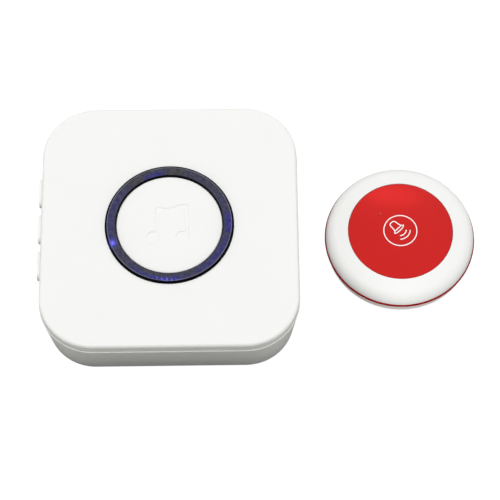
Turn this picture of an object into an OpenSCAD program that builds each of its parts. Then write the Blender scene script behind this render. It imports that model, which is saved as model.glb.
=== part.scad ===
// Caregiver pager: a chime receiver with a light ring and three side buttons, and its round call button.
// Both lie face up on one surface, side by side. Millimetres, +Z up, +Y towards the receiver's top edge.
// The origin is the middle of the receiver's flat back.

/* [Receiver casing] */
// Width of the receiver
receiver_w = 90; // [86:1:110]
// Length of the receiver, bottom edge to top edge
receiver_l = 92; // [88:1:110]
// Height of the receiver's face above its back
receiver_h = 22.8; // [22.6:0.2:30]
// Radius of the receiver's corners, seen from above
corner_r = 19; // [16:0.5:23]
// Height of the front cover, from the seam to the face
front_h = 4.2; // [4:0.1:6]
// Radius of the edge round the face
face_edge_r = 1.1; // [0.5:0.1:1.9]
// How far the rear cover's wall leans in at the back
rear_taper = 2; // [0.6:0.1:2.4]
// Radius of the edge round the back
rear_edge_r = 1; // [0.5:0.1:1.8]
// Thickness of the casing walls
wall = 2; // [1.6:0.1:2.4]
// How far the rear cover's rim stands out past the front cover
seam_step = 0.25; // [0.1:0.05:0.5]
// Height of the front cover's locating lip
lip_h = 1.5; // [1:0.1:2.5]
// Thickness of the locating lip
lip_t = 0.9; // [0.6:0.1:1.4]
// Gap between pieces that are fixed together
fit_gap = 0.1; // [0.05:0.05:0.2]
// Gap round pieces that move
slip_gap = 0.15; // [0.1:0.05:0.3]

/* [Light ring] */
// Outer diameter of the light ring, as it shows in the face
ring_d = 44.9; // [40:0.1:48]
// Width of the light ring's band
ring_band = 3.9; // [3:0.1:6]
// How far the light ring stands above the face
ring_proud = 0.9; // [0.3:0.1:1.5]
// Radius of the light ring's top edges
ring_edge_r = 0.7; // [0.2:0.1:0.8]
// Width of the flange that holds the ring under the face
ring_flange = 2; // [1:0.1:3]
// Thickness of that flange and of the ledge that carries the disc
ring_flange_t = 1.4; // [1:0.1:2]
// Width of the ledge that carries the centre disc
disc_ledge = 1.8; // [1:0.1:3]
// Number of lamps under the ring
lamp_count = 5; // [3:1:12]

/* [Side buttons] */
// Length of a side button
side_button_l = 10.4; // [8:0.1:12]
// Height of a side button
side_button_h = 4.2; // [3.6:0.1:4.4]
// Distance from one side button to the next
side_button_pitch = 14; // [13.5:0.1:15.5]
// How far the row of side buttons lies above the middle
side_button_shift = 0.9; // [-3:0.1:3]
// How far a side button stands out of the wall
side_button_proud = 1.1; // [0.8:0.1:2]
// How far a side button's ends fall back from its middle
side_button_crown = 0.2; // [0.1:0.1:0.7]
// Radius of a side button's corners
side_button_r = 1.6; // [0.8:0.1:1.7]
// Travel of a side button
side_button_travel = 0.6; // [0.3:0.1:0.8]

/* [Batteries] */
// Diameter of a battery cell
cell_d = 10.5; // [10:0.1:10.8]
// Length of a battery cell with its nub
cell_l = 44.5; // [40:0.1:46]
// Number of battery cells
cell_count = 3; // [2:1:3]
// Length of a battery spring, pressed
spring_l = 4; // [3:0.1:6]
// Thickness of the battery door
door_t = 1.8; // [1.6:0.1:2.2]
// Width of the tongues that guide the battery door
door_tongue = 1; // [0.6:0.1:1.4]
// Height of the battery door's turned-up end
door_end_h = 4.5; // [3:0.1:6]

/* [Loudspeaker] */
// Diameter of the loudspeaker
speaker_d = 34; // [28:0.5:35]
// Height of the loudspeaker
speaker_h = 7.5; // [6:0.5:9]
// Diameter of the loudspeaker's magnet
magnet_d = 17; // [14:0.5:20]
// Width of a sound slot
slot_w = 1.6; // [1:0.1:2]
// Distance from one sound slot to the next
slot_pitch = 3.6; // [3:0.1:5]

/* [Call button] */
// Space between the receiver and the call button
set_gap = 10; // [4:0.1:40]
// How far the call button lies above the receiver's middle
set_shift = 1.5; // [-20:0.1:20]
// Outer diameter of the call button
button_d = 52.3; // [52:0.1:60]
// Diameter of the opening for the red cap
cap_opening_d = 37.1; // [34:0.1:37.4]
// Height of the call button's base
base_h = 5.4; // [4.4:0.1:6]
// Radius of the edge under the base
base_edge_r = 2.2; // [1:0.1:2.3]
// Thickness of the red seal ring
seal_t = 1.4; // [0.8:0.1:1.6]
// How far the seal ring stands out past the white shell
seal_proud = 0.4; // [0:0.05:0.5]
// Radius of the white shell's shoulder
shoulder_r = 4.5; // [4.3:0.1:5.5]
// Slope of the white shell from its shoulder up to the opening, in degrees
crown_slope = 11.5; // [9:0.5:14]
// Radius of the red cap's crown
cap_crown_r = 200; // [120:10:400]
// Thickness of the call button's walls
button_wall = 1.7; // [1.4:0.1:1.9]
// Travel of the red cap
cap_travel = 0.6; // [0.3:0.1:0.8]
// Diameter of the coin cell
coin_d = 20; // [16:0.5:20]
// Thickness of the coin cell
coin_t = 3.2; // [2:0.1:3.2]
// Distance of the indicator from the cap's middle
indicator_r = 9.5; // [7:0.1:12]
// Direction of the indicator from the cap's middle, in degrees
indicator_angle = 136; // [100:1:170]

/* [Hidden] */
$fn = 96;
crown_sides = 720;
eps = 0.01;

// How far a cut runs past the face that it opens
over = 1;

// Heights in the receiver, from the back up
seam_z = receiver_h - front_h;
face_under_z = receiver_h - wall;
cell_gap = 0.2;
bay_wall = 1.2;
bay_ceiling_z = door_t + cell_d + 2 * cell_gap;
bay_roof_z = bay_ceiling_z + bay_wall;
board_gap = 0.3;
board_t = 1.6;
board_z = bay_roof_z + board_gap;
board_top_z = board_z + board_t;

// Battery bay, set against the top wall
cell_space = 0.6;
cell_pitch = cell_d + cell_space;
cell_plate_t = 0.4;
cell_plate_w = cell_d - 2;
cell_tab_w = 3;
bay_w = cell_l + spring_l + 2 * cell_plate_t;
bay_l = cell_count * cell_pitch;
bay_end_gap = 1;
bay_far_y = receiver_l / 2 - rear_taper - wall - bay_end_gap;
bay_near_y = bay_far_y - bay_l;
cell_z = door_t + cell_gap + cell_d / 2;

// Battery door and the rails it slides in
door_ledge = 1.5;
door_w = bay_w + 2 * door_ledge;
door_near_y = bay_near_y - door_ledge;
door_sunk = 0.1;
tongue_z = door_t / 2;
rail_w = 1.2;
rail_h = door_t + slip_gap + bay_wall;
door_grip_count = 5;
door_grip_l = 22;
door_grip_w = 1.2;
door_grip_depth = 0.4;
door_grip_inset = 4;

// Loudspeaker against the floor, towards the bottom wall
speaker_rib = 1.2;
speaker_wall_gap = 1.5;
speaker_seat_r = speaker_d / 2 + 2 * fit_gap;
speaker_y = -(receiver_l / 2 - rear_taper - wall - speaker_wall_gap - speaker_rib - speaker_seat_r);
speaker_rim = 2.5;
speaker_plate_t = 1;
magnet_r = magnet_d / 2;
magnet_h = 3.2;
voice_r = 4.25;
voice_dip = 1.4;
cone_t = 0.5;
cone_lift = 0.2;
cone_back_gap = 0.6;
slot_margin = 1.5;
slot_field_r = speaker_d / 2 - speaker_rim - slot_margin;

// Circuit board and its posts
board_margin = 7;
board_w = receiver_w - 2 * board_margin;
board_l = 54;
board_post_inset = 4;
board_post_r = 3;
board_screw_r = 0.9;
board_screw_head_r = 1.9;
board_screw_head_h = 1.3;
board_screw_l = 7;
lamp_ring_r = ring_d / 2 - ring_band / 2;
lamp_turn = 270;
lamp_size = [3.5, 2.8, 1.9];
chip_size = [10, 6, 1.8];
radio_board = [10, 14, 1.2];
radio_can = [7, 8, 2];
radio_y = 12;
right_strip_x = board_w / 2 - 6.5;
antenna_r = 1.6;
antenna_wire_r = 0.35;
antenna_turns = 9;
antenna_pitch = 1.7;
antenna_y = -8;
antenna_stand = 0.6;
antenna_foot_h = 0.7;
wire_sides = 6;
lead_sides = 8;

// Side switches at the board's left edge
switch_size = [3.6, 6, 3.6];
switch_bore_r = 1.1;
plunger_r = switch_bore_r - fit_gap;
plunger_out = 1;
plunger_in = 1.4;
switch_bore_spare = 0.6;
switch_bore_depth = plunger_in + side_button_travel + switch_bore_spare;
side_button_count = 3;
side_button_z = board_top_z + switch_size[2] / 2;
side_button_lip = 0.7;
side_flange_t = 1;
side_flange_l = side_button_l + 2 * side_button_lip;
side_flange_h = side_button_h + 2 * side_button_lip;
side_flange_x = receiver_w / 2 - wall - rear_lean(side_button_z - side_flange_h / 2) - slip_gap;
side_nub_r = 1.5;
switch_x = board_w / 2;

// Screws that hold the casing
case_post_inset = 12;
case_post_r = 3.5;
case_boss_r = 3.2;
case_boss_drop = 2;
case_joint_z = seam_z - case_boss_drop;
case_screw_r = 1.3;
case_screw_head_r = 2.5;
case_screw_head_h = 1.8;
case_screw_seat_z = 8;
case_screw_short = 0.6;
case_screw_tip_z = face_under_z - case_screw_short;
screw_hole_gap = 0.3;
pilot_spare = 0.2;

// Call button, from the base up
button_x = receiver_w / 2 + set_gap + button_d / 2;
button_r = button_d / 2;
base_step = 0.4;
base_r = button_r - base_step;
base_floor = 1.6;
seal_r = button_r + seal_proud;
seal_overhang = 0.3;
seal_in_r = base_r - button_wall - seal_overhang;
rim_z = base_h + seal_t;
rim_h = 0.1;
shoulder_z = rim_z + rim_h;
cap_opening_r = cap_opening_d / 2;
opening_edge_z = dome_z(0, cap_opening_r);

// Screws that close the call button
base_screw_count = 3;
base_screw_turn = 30;
base_screw_inset = 4.6;
base_screw_ring_r = button_r - base_screw_inset;
base_screw_r = 0.8;
base_screw_head_r = 1.5;
base_screw_head_h = 0.7;
base_screw_seat_z = 0.9;
base_post_r = 2;
shell_post_r = 1.7;
shell_post_top_z = dome_z(button_wall, base_screw_ring_r - shell_post_r) + button_wall / 3;
base_screw_short = 1.3;
base_screw_tip_z = shell_post_top_z - base_screw_short;

// Red cap, held under the shell by its flange
cap_r = cap_opening_r - slip_gap;
cap_flange_out = 1;
cap_flange_r = cap_opening_r + cap_flange_out;
cap_flange_t = 1;
cap_plate_t = 1.7;
cap_skirt_t = 1.3;
cap_sunk = 0.1;
cap_edge_z = opening_edge_z - cap_sunk;
cap_crown_z = cap_edge_z - sqrt(pow(cap_crown_r, 2) - pow(cap_r, 2));
cap_under_z = cap_edge_z - cap_plate_t;
cap_flange_z = dome_z(button_wall, cap_flange_r) - fit_gap - cap_flange_t;
cap_boss_r = 2.5;
cap_boss_h = 0.3;
lens_r = 0.8;
lens_hole_gap = 0.05;
lens_drop = 0.4;

// Call button's board, with the coin cell below and the switch above
clip_t = 0.3;
clip_w = 5;
clip_gap = 0.3;
coin_gap = 0.1;
coin_z = base_floor + clip_t + coin_gap;
button_board_z = coin_z + coin_t + coin_gap;
button_board_t = 1;
button_board_top_z = button_board_z + button_board_t;
button_board_gap = 0.4;
button_board_r = base_screw_ring_r - base_post_r - button_board_gap;
board_pin_turn = 90;
board_pin_ring_r = 16;
board_pin_r = 0.7;
board_pin_proud = 0.4;
board_stand_r = 2;
call_bore_r = 1.7;
call_bore_floor = 0.15;
call_bore_spare = 0.15;
call_plunger_r = call_bore_r - fit_gap;
call_plunger_in = 0.7;
call_switch_size = [6, 6, call_bore_floor + call_plunger_in + cap_travel + call_bore_spare];
call_plunger_top_z = cap_under_z - cap_boss_h;
indicator_lamp_size = [1.6, 1.6, 1];
encoder_size = [5, 4, 1.5];
encoder_pos = [8, -6];

casing_white = [0.95, 0.95, 0.93];
cap_red = [0.82, 0.13, 0.13];
ring_blue = [0.16, 0.16, 0.38, 0.85];
board_green = [0.1, 0.36, 0.2];
part_black = [0.1, 0.1, 0.11];
metal_grey = [0.72, 0.72, 0.74];

// Height of the call button's sloping top at distance x from its middle, cut in by inset
function dome_z(inset, x) = shoulder_z + (shoulder_r - inset) * cos(crown_slope)
    + (button_r - shoulder_r + (shoulder_r - inset) * sin(crown_slope) - x) * tan(crown_slope);

// How far the rear cover's outside stands in from its rim, at height z
function rear_lean(z) = rear_taper * (1 - z / seam_z);

// Signs of the four corners, and the four board posts and case screws
corners = [for (sx = [-1, 1], sy = [-1, 1]) [sx, sy]];
function board_post(c) = [c[0] * (board_w / 2 - board_post_inset),
    c[1] * (board_l / 2 - board_post_inset)];
function case_post(c) = [c[0] * (receiver_w / 2 - case_post_inset),
    c[1] * (receiver_l / 2 - case_post_inset)];

// Middles of the battery cells, and which way round each lies
function cell_y(i) = bay_near_y + cell_pitch * (i + 0.5);
function cell_turn(i) = i % 2 == 0 ? 1 : -1;

// End of the bay, -1 or 1, and cell of the two plates that lead to the board
terminals = [[-1, 0], [cell_turn(cell_count - 1), cell_count - 1]];

// Rectangle with round corners, made of squares and circles
module round_rect(w, l, r) {
    square([w - 2 * r, l], center = true);
    square([w, l - 2 * r], center = true);
    for (c = corners)
        translate([c[0] * (w / 2 - r), c[1] * (l / 2 - r)]) circle(r);
}

// Solid whose upright outline, the child drawn from x = 0 to x = r, runs round a rounded rectangle
module run_round(w, l, r, z0, z1) {
    for (k = [0:3]) {
        along = k % 2 == 0 ? l : w;
        across = k % 2 == 0 ? w : l;
        rotate([0, 0, 90 * k]) {
            translate([across / 2 - r, along / 2 - r, 0]) rotate_extrude(angle = 90) children();
            translate([across / 2 - r, along / 2 - r, 0]) rotate([90, 0, 0])
                linear_extrude(along - 2 * r) children();
        }
    }
    translate([-w / 2 + r, -l / 2 + r, z0]) cube([w - 2 * r, l - 2 * r, z1 - z0]);
}

// Outline of a wall that leans in towards the back, with a round edge under it
module leaning_wall(r, lean, edge_r, z0, z1) {
    slope = atan(lean / (z1 - z0));
    edge_x = r - lean + edge_r * tan(slope) - edge_r / cos(slope);
    polygon([[0, z0], [edge_x, z0], [edge_x, z0 + edge_r],
        [edge_x + edge_r * cos(slope), z0 + edge_r - edge_r * sin(slope)], [r, z1], [0, z1]]);
    translate([edge_x, z0 + edge_r]) circle(edge_r);
}

// Outline of a wall with a round top edge
module round_top(r, edge_r, z0, z1) {
    translate([0, z0]) square([r, z1 - z0 - edge_r]);
    translate([0, z0]) square([r - edge_r, z1 - z0]);
    translate([r - edge_r, z1 - edge_r]) circle(edge_r);
}

// Full outside of the rear cover
module rear_outside() {
    run_round(receiver_w, receiver_l, corner_r, 0, seam_z)
        leaning_wall(corner_r, rear_taper, rear_edge_r, 0, seam_z);
}

// Straight-sided solid with round corners
module round_block(w, l, r, z0, z1) {
    translate([0, 0, z0]) linear_extrude(z1 - z0) round_rect(w, l, r);
}

// Middles of the side buttons, top one first
function side_button_y(i) = side_button_shift + side_button_pitch * ((side_button_count - 1) / 2 - i);

// Bar along X with a rounded section, whose outer end is at x = -x_out
module side_bar(i, l, h, r, x_out, length) {
    translate([-x_out, side_button_y(i), side_button_z]) rotate([90, 0, 90])
        linear_extrude(length) round_rect(l, h, r);
}

// Holes in the left wall for the side buttons
module side_button_holes() {
    for (i = [0:side_button_count - 1])
        side_bar(i, side_button_l + 2 * slip_gap, side_button_h + 2 * slip_gap, side_button_r + slip_gap,
            receiver_w / 2 + over, wall + rear_taper + over);
}

module front_cover() {
    front_w = receiver_w - 2 * seam_step;
    front_l = receiver_l - 2 * seam_step;
    front_r = corner_r - seam_step;
    lip_in = wall + fit_gap + rear_lean(seam_z - lip_h);
    color(casing_white) difference() {
        union() {
            difference() {
                run_round(front_w, front_l, front_r, seam_z, receiver_h)
                    round_top(front_r, face_edge_r, seam_z, receiver_h);
                round_block(front_w - 2 * wall, front_l - 2 * wall, front_r - wall,
                    seam_z - over, face_under_z);
            }
            difference() {
                union() {
                    round_block(receiver_w - 2 * lip_in, receiver_l - 2 * lip_in, corner_r - lip_in,
                        seam_z - lip_h, seam_z + lip_h);
                    round_block(front_w - wall, front_l - wall, front_r - wall / 2, seam_z, seam_z + lip_h);
                }
                round_block(receiver_w - 2 * (lip_in + lip_t), receiver_l - 2 * (lip_in + lip_t),
                    corner_r - lip_in - lip_t, seam_z - lip_h - over, seam_z + lip_h + over);
            }
            for (c = corners)
                translate([case_post(c)[0], case_post(c)[1], case_joint_z])
                    cylinder(r = case_boss_r, h = face_under_z + wall / 2 - case_joint_z);
        }
        translate([0, 0, face_under_z - over]) cylinder(d = ring_d + 2 * fit_gap, h = wall + 2 * over);
        for (c = corners)
            translate([case_post(c)[0], case_post(c)[1], case_joint_z - over])
                cylinder(r = case_screw_r + fit_gap / 2,
                    h = case_screw_tip_z + pilot_spare - case_joint_z + over);
        side_button_holes();
        for (i = [0:side_button_count - 1])
            side_bar(i, side_flange_l + 2 * slip_gap, side_flange_h + 2 * slip_gap,
                side_button_r + side_button_lip, side_flange_x + slip_gap, 2 * lip_t + wall);
    }
}

// Slots in the floor under the loudspeaker
module sound_slots() {
    half_count = floor(slot_field_r / slot_pitch);
    intersection() {
        translate([0, speaker_y, -over]) cylinder(r = slot_field_r, h = wall + 2 * over);
        for (i = [-half_count:half_count])
            translate([i * slot_pitch - slot_w / 2, speaker_y - slot_field_r, -over])
                cube([slot_w, 2 * slot_field_r, wall + 2 * over]);
    }
}

module rear_cover() {
    color(casing_white) difference() {
        union() {
            difference() {
                rear_outside();
                run_round(receiver_w - 2 * wall, receiver_l - 2 * wall, corner_r - wall, wall, seam_z + over)
                    leaning_wall(corner_r - wall - rear_lean(seam_z + over),
                        rear_lean(wall) - rear_lean(seam_z + over), rear_edge_r / 2, wall, seam_z + over);
            }
            intersection() {
                rear_outside();
                union() {
                    translate([-bay_w / 2 - bay_wall, bay_near_y - bay_wall, 0])
                        cube([bay_w + 2 * bay_wall, bay_l + 2 * bay_wall, bay_roof_z]);
                    translate([-door_w / 2 - door_tongue - rail_w, door_near_y - rail_w, 0])
                        cube([door_w + 2 * (door_tongue + rail_w), receiver_l, rail_h]);
                    for (c = corners) {
                        translate(case_post(c)) cylinder(r = case_post_r, h = case_joint_z);
                        translate(board_post(c)) cylinder(r = board_post_r, h = board_z);
                    }
                    translate([0, speaker_y, 0]) difference() {
                        cylinder(r = speaker_seat_r + speaker_rib, h = wall + speaker_rim);
                        translate([0, 0, -over])
                            cylinder(r = speaker_seat_r, h = wall + speaker_rim + 2 * over);
                    }
                }
            }
        }
        translate([-bay_w / 2, bay_near_y, -over]) cube([bay_w, bay_l, bay_ceiling_z + over]);
        translate([-door_w / 2, door_near_y, -over]) cube([door_w, receiver_l, tongue_z + over + eps]);
        translate([-door_w / 2 - door_tongue, door_near_y, tongue_z])
            cube([door_w + 2 * door_tongue, receiver_l, door_t + slip_gap - tongue_z]);
        translate([-door_w / 2 - door_tongue, bay_far_y + bay_wall, -over])
            cube([door_w + 2 * door_tongue, receiver_l, door_end_h + over]);
        for (t = terminals)
            translate([t[0] * (bay_w / 2 - cell_plate_t / 2), cell_y(t[1]), bay_ceiling_z + bay_wall / 2])
                cube([cell_plate_t + 2 * fit_gap, cell_tab_w + 2 * fit_gap, bay_wall + 2 * over],
                    center = true);
        for (c = corners) {
            translate([case_post(c)[0], case_post(c)[1], -over])
                cylinder(r = case_screw_head_r + screw_hole_gap, h = case_screw_seat_z + over);
            translate(case_post(c)) cylinder(r = case_screw_r + screw_hole_gap, h = case_joint_z + over);
            translate([board_post(c)[0], board_post(c)[1], board_top_z - board_screw_l - pilot_spare])
                cylinder(r = board_screw_r + fit_gap / 2, h = board_screw_l + over);
        }
        sound_slots();
        side_button_holes();
    }
}

module light_ring() {
    out_r = ring_d / 2;
    in_r = out_r - ring_band;
    low_z = face_under_z - ring_flange_t;
    top_z = receiver_h + ring_proud;
    color(ring_blue) rotate_extrude() {
        translate([in_r, low_z]) square([ring_band, top_z - ring_edge_r - low_z]);
        translate([in_r + ring_edge_r, low_z]) square([ring_band - 2 * ring_edge_r, top_z - low_z]);
        for (x = [in_r + ring_edge_r, out_r - ring_edge_r])
            translate([x, top_z - ring_edge_r]) circle(ring_edge_r);
        translate([in_r - disc_ledge, low_z]) square([ring_band + disc_ledge + ring_flange, ring_flange_t]);
    }
}

module centre_disc() {
    disc_edge_r = 0.4;
    disc_r = ring_d / 2 - ring_band - fit_gap;
    color(casing_white) rotate_extrude()
        round_top(disc_r, disc_edge_r, face_under_z, receiver_h);
}

module side_button(i) {
    out_x = receiver_w / 2 + side_button_proud;
    crown = (pow(side_button_l / 2, 2) + pow(side_button_crown, 2)) / (2 * side_button_crown);
    nub_end_x = switch_x + plunger_out;
    color(casing_white) {
        intersection() {
            side_bar(i, side_button_l, side_button_h, side_button_r, out_x,
                out_x - side_flange_x + side_flange_t / 2);
            translate([crown - out_x, side_button_y(i), side_button_z - side_button_h])
                cylinder(r = crown, h = 2 * side_button_h);
        }
        side_bar(i, side_flange_l, side_flange_h, side_button_r + side_button_lip / 2,
            side_flange_x, side_flange_t);
        translate([-side_flange_x + side_flange_t / 2, side_button_y(i), side_button_z]) rotate([0, 90, 0])
            cylinder(r = side_nub_r, h = side_flange_x - side_flange_t / 2 - nub_end_x);
    }
}

module upper_side_button() { side_button(0); }
module middle_side_button() { side_button(1); }
module lower_side_button() { side_button(2); }

// Plunger of the switch behind side button i
module switch_plunger(i) {
    color(part_black) translate([-switch_x - plunger_out, side_button_y(i), side_button_z])
        rotate([0, 90, 0]) cylinder(r = plunger_r, h = plunger_out + plunger_in);
}

module upper_switch_plunger() { switch_plunger(0); }
module middle_switch_plunger() { switch_plunger(1); }
module lower_switch_plunger() { switch_plunger(2); }

module side_switches() {
    color(metal_grey) for (i = [0:side_button_count - 1])
        difference() {
            translate([-switch_x, side_button_y(i) - switch_size[1] / 2, board_top_z]) cube(switch_size);
            translate([-switch_x - over, side_button_y(i), side_button_z]) rotate([0, 90, 0])
                cylinder(r = switch_bore_r, h = switch_bore_depth + over);
        }
}

module receiver_board() {
    board_r = 2;
    color(board_green) difference() {
        round_block(board_w, board_l, board_r, board_z, board_top_z);
        for (c = corners)
            translate([board_post(c)[0], board_post(c)[1], board_z - over])
                cylinder(r = board_screw_r + screw_hole_gap, h = board_t + 2 * over);
    }
}

module ring_lamps() {
    color("white") for (i = [0:lamp_count - 1])
        rotate([0, 0, lamp_turn + 360 * i / lamp_count])
            translate([lamp_ring_r - lamp_size[1] / 2, -lamp_size[0] / 2, board_top_z])
                cube([lamp_size[1], lamp_size[0], lamp_size[2]]);
}

module sound_chip() {
    color(part_black) translate([-chip_size[0] / 2, -chip_size[1] / 2, board_top_z]) cube(chip_size);
}

module radio_module() {
    color(metal_grey) {
        translate([right_strip_x - radio_board[0] / 2, radio_y - radio_board[1] / 2, board_top_z])
            cube(radio_board);
        translate([right_strip_x - radio_can[0] / 2, radio_y - radio_can[1] / 2,
            board_top_z + radio_board[2] - eps])
            cube(radio_can);
    }
}

// Round tube along a list of points. The reference direction is never along the path.
module tube(path, r, sides, reference) {
    last = len(path) - 1;
    function along(i) = path[min(i + 1, last)] - path[max(i - 1, 0)];
    function unit(v) = v / norm(v);
    rings = [for (i = [0:last])
        let (n = unit(cross(along(i), reference)), b = unit(cross(along(i), n)))
        for (k = [0:sides - 1])
            let (a = 360 * k / sides) path[i] + r * (cos(a) * n + sin(a) * b)];
    walls = [for (i = [0:last - 1], k = [0:sides - 1])
        let (a = i * sides + k, b = i * sides + (k + 1) % sides)
        each [[a, b, b + sides], [a, b + sides, a + sides]]];
    near_cap = [for (k = [1:sides - 2]) [0, k + 1, k]];
    far_cap = [for (k = [1:sides - 2]) [last * sides, last * sides + k, last * sides + k + 1]];
    polyhedron(points = rings, faces = concat(walls, near_cap, far_cap));
}

// Least distance from a coil's turn to the next, wire to wire
function coil_gap(pitch, wire_r) = pitch - 2 * wire_r;

module antenna_coil() {
    rings_a_turn = 8;
    steps = antenna_turns * rings_a_turn;
    coil_z = board_top_z + antenna_r + antenna_stand;
    foot_top_z = board_top_z + antenna_foot_h;
    coil_l = antenna_turns * antenna_pitch;
    function wind(i) = [right_strip_x + antenna_r * sin(360 * i / rings_a_turn),
        antenna_y + coil_l * (i / steps - 0.5), coil_z - antenna_r * cos(360 * i / rings_a_turn)];
    foot = wind(0) - [antenna_r, 0, 0];
    far_foot = wind(steps) + [antenna_r, 0, 0];
    echo(antenna_turn_gap = coil_gap(antenna_pitch, antenna_wire_r));
    color("peru") tube(concat([[foot[0], foot[1], board_top_z], [foot[0], foot[1], foot_top_z]],
        [for (i = [0:steps]) wind(i)],
        [[far_foot[0], far_foot[1], foot_top_z], [far_foot[0], far_foot[1], board_top_z]]),
        antenna_wire_r, wire_sides, [0, 1, 0]);
}

module speaker_basket() {
    rim_r = speaker_d / 2;
    shelf_z = wall + speaker_h - magnet_h - speaker_plate_t;
    color(metal_grey) translate([0, speaker_y, 0]) rotate_extrude()
        polygon([[rim_r - speaker_rim, wall], [rim_r, wall], [rim_r, wall + speaker_plate_t],
            [rim_r - speaker_rim + speaker_plate_t, wall + speaker_plate_t],
            [magnet_r + speaker_plate_t, shelf_z + speaker_plate_t], [0, shelf_z + speaker_plate_t],
            [0, shelf_z], [magnet_r, shelf_z], [rim_r - speaker_rim, wall + speaker_plate_t]]);
}

module speaker_cone() {
    rim_r = speaker_d / 2 - speaker_rim - fit_gap;
    depth = speaker_h - magnet_h - speaker_plate_t - cone_back_gap;
    color(part_black) translate([0, speaker_y, wall]) rotate_extrude()
        polygon([[rim_r, cone_lift], [rim_r, cone_lift + cone_t], [voice_r, depth], [0, depth - voice_dip],
            [0, depth - voice_dip - cone_t], [voice_r, depth - cone_t], [rim_r - cone_t, cone_lift]]);
}

module speaker_magnet() {
    color(part_black) translate([0, speaker_y, wall + speaker_h - magnet_h])
        cylinder(r = magnet_r, h = magnet_h);
}

module speaker_leads() {
    wire_r = 0.5;
    lead_x = 8;
    lead_y = sqrt(pow(speaker_d / 2 - speaker_rim / 3, 2) - pow(lead_x, 2));
    bow = 1.5;
    steps = 12;
    low_z = wall + speaker_plate_t;
    function lead(side, t) = [side * (lead_x + bow * (1 - cos(360 * t)) / 2), speaker_y + lead_y,
        low_z + (board_z - low_z) * t];
    color("firebrick") for (side = [-1, 1])
        tube([for (i = [0:steps]) lead(side, i / steps)], wire_r, lead_sides, [0, 1, 0]);
}

module battery_door() {
    tongue_w = door_w + 2 * (door_tongue - slip_gap);
    end_y = bay_far_y + bay_wall + slip_gap;
    grip_y = bay_far_y - door_grip_inset;
    color(casing_white) difference() {
        intersection() {
            rear_outside();
            union() {
                translate([-door_w / 2 + slip_gap, door_near_y + slip_gap, door_sunk])
                    cube([door_w - 2 * slip_gap, receiver_l, door_t - door_sunk]);
                translate([-tongue_w / 2, door_near_y + slip_gap, tongue_z + slip_gap])
                    cube([tongue_w, receiver_l, door_t - tongue_z - slip_gap]);
                translate([-tongue_w / 2, end_y, door_sunk])
                    cube([tongue_w, receiver_l, door_end_h - slip_gap - door_sunk]);
            }
        }
        for (i = [0:door_grip_count - 1])
            translate([-door_grip_l / 2, grip_y - 2 * door_grip_w * i - door_grip_w, -over])
                cube([door_grip_l, door_grip_w, over + door_sunk + door_grip_depth]);
    }
}

// One battery cell along X, its nub towards +X, in the middle of its own length
module battery_cell() {
    nub_r = 1.9;
    nub_l = 1;
    translate([-cell_l / 2, 0, 0]) rotate([0, 90, 0]) cylinder(d = cell_d, h = cell_l - nub_l);
    translate([-cell_l / 2, 0, 0]) rotate([0, 90, 0]) cylinder(r = nub_r, h = cell_l);
}

// Places a child at each battery cell, turned with the cell
module at_cells() {
    for (i = [0:cell_count - 1])
        translate([cell_turn(i) * spring_l / 2, cell_y(i), cell_z])
            rotate([0, 0, cell_turn(i) > 0 ? 0 : 180]) children();
}

module battery_cells() {
    color("darkseagreen") at_cells() battery_cell();
}

module cell_springs() {
    wire_r = 0.35;
    turns = 3;
    rings_a_turn = 8;
    wide_r = 3.4;
    narrow_r = 2;
    steps = turns * rings_a_turn;
    run = spring_l - 2 * wire_r - 2 * fit_gap;
    function wind(i) = let (r = wide_r + (narrow_r - wide_r) * i / steps)
        [-cell_l / 2 - spring_l + wire_r + fit_gap + run * i / steps,
            r * cos(360 * i / rings_a_turn), r * sin(360 * i / rings_a_turn)];
    echo(spring_turn_gap = coil_gap(run / turns, wire_r));
    color(metal_grey) at_cells() tube([for (i = [0:steps]) wind(i)], wire_r, wire_sides, [1, 0, 0]);
}

// Flat contact at one end of the bay, from cell i to cell j
module cell_plate(end, i, j) {
    translate([end * (bay_w / 2 - cell_plate_t / 2) - cell_plate_t / 2, cell_y(i) - cell_plate_w / 2,
        cell_z - cell_plate_w / 2])
        cube([cell_plate_t, cell_y(j) - cell_y(i) + cell_plate_w, cell_plate_w]);
}

module cell_plates() {
    color(metal_grey) {
        for (i = [0:cell_count - 2])
            cell_plate(cell_turn(i), i, i + 1);
        for (t = terminals) {
            cell_plate(t[0], t[1], t[1]);
            translate([t[0] * (bay_w / 2 - cell_plate_t / 2) - cell_plate_t / 2,
                cell_y(t[1]) - cell_tab_w / 2, cell_z])
                cube([cell_plate_t, cell_tab_w, board_z - cell_z]);
        }
    }
}

// Round-headed screw pointing up, its head's seat at z = 0, with a crossed slot
module screw(shank_r, head_r, head_h, length) {
    cross_w = head_r / 4;
    cross_l = head_r * 1.2;
    difference() {
        union() {
            cylinder(r = shank_r, h = length);
            translate([0, 0, -head_h]) cylinder(r = head_r, h = head_h);
        }
        for (turn = [0, 90])
            rotate([0, 0, turn]) translate([-cross_l / 2, -cross_w / 2, -head_h - over])
                cube([cross_l, cross_w, over + head_h / 2]);
    }
}

module case_screws() {
    color(metal_grey) for (c = corners)
        translate([case_post(c)[0], case_post(c)[1], case_screw_seat_z])
            screw(case_screw_r, case_screw_head_r, case_screw_head_h, case_screw_tip_z - case_screw_seat_z);
}

module board_screws() {
    color(metal_grey) for (c = corners)
        translate([board_post(c)[0], board_post(c)[1], board_top_z]) rotate([180, 0, 0])
            screw(board_screw_r, board_screw_head_r, board_screw_head_h, board_screw_l);
}

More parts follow.
